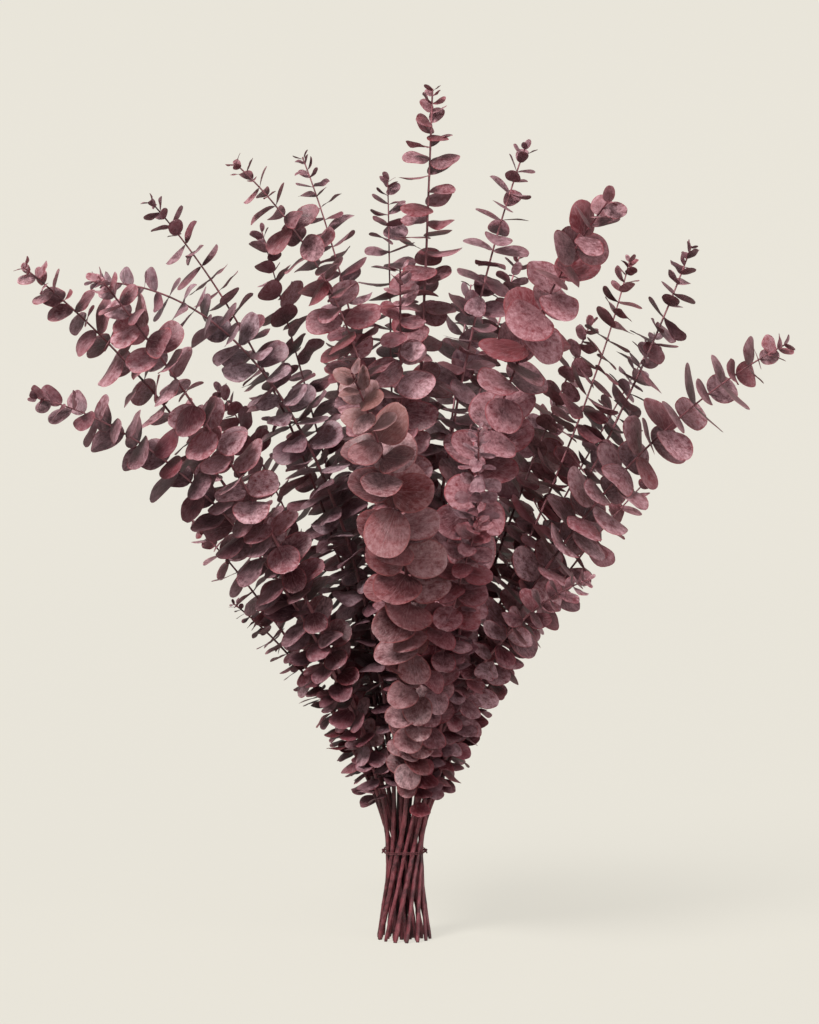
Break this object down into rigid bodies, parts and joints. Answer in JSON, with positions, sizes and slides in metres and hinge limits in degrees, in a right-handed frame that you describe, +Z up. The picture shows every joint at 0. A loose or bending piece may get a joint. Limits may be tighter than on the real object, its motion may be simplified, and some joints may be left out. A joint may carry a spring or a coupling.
{
  "type": "bunch of dried eucalyptus",
  "caption": "Hand-tied bunch of dried eucalyptus that stands on its cut ends, fanning out above a thread tie.",
  "frame": {"origin": "on the surface that the bunch stands on, in the middle of the ring of cut stem ends, which is also the middle of the bunch's box", "axes": "+Z up along the middle stem, -Y towards the side that the picture shows, +X to that view's right"},
  "size_m": [0.5664, 0.4812, 0.6464],
  "materials": {
    "leaf_plum": "matt, dusty dried leaf and bark",
    "leaf_grey": "matt, dusty dried leaf and bark",
    "leaf_burgundy": "matt, dusty dried leaf and bark",
    "leaf_rose": "matt, dusty dried leaf and bark",
    "leaf_russet": "matt, dusty dried leaf and bark",
    "thread": "matt twisted thread"
  },
  "bodies": {
    "root": {"leafy_stem_outer_01": "leaf_burgundy", "leafy_stem_outer_02": "leaf_grey", "leafy_stem_outer_03": "leaf_plum", "leafy_stem_outer_04": "leaf_grey", "leafy_stem_outer_05": "leaf_plum", "leafy_stem_outer_06": "leaf_plum", "leafy_stem_outer_07": "leaf_rose", "leafy_stem_outer_08": "leaf_rose", "leafy_stem_outer_09": "leaf_plum", "leafy_stem_outer_10": "leaf_grey", "leafy_stem_outer_11": "leaf_russet", "leafy_stem_outer_12": "leaf_burgundy", "leafy_stem_outer_13": "leaf_plum", "leafy_stem_outer_14": "leaf_rose", "leafy_stem_middle_01": "leaf_plum", "leafy_stem_middle_02": "leaf_burgundy", "leafy_stem_middle_03": "leaf_grey", "leafy_stem_middle_04": "leaf_plum", "leafy_stem_middle_05": "leaf_plum", "leafy_stem_middle_06": "leaf_rose", "leafy_stem_middle_07": "leaf_burgundy", "leafy_stem_middle_08": "leaf_rose", "leafy_stem_middle_09": "leaf_burgundy", "leafy_stem_inner_01": "leaf_burgundy", "leafy_stem_inner_02": "leaf_plum", "leafy_stem_inner_03": "leaf_plum", "leafy_stem_inner_04": "leaf_plum", "leafy_stem_inner_05": "leaf_rose", "leafy_stem_inner_06": "leaf_plum", "leafy_stem_centre_01": "leaf_burgundy", "tie": "thread"}
  },
  "joints": []
}
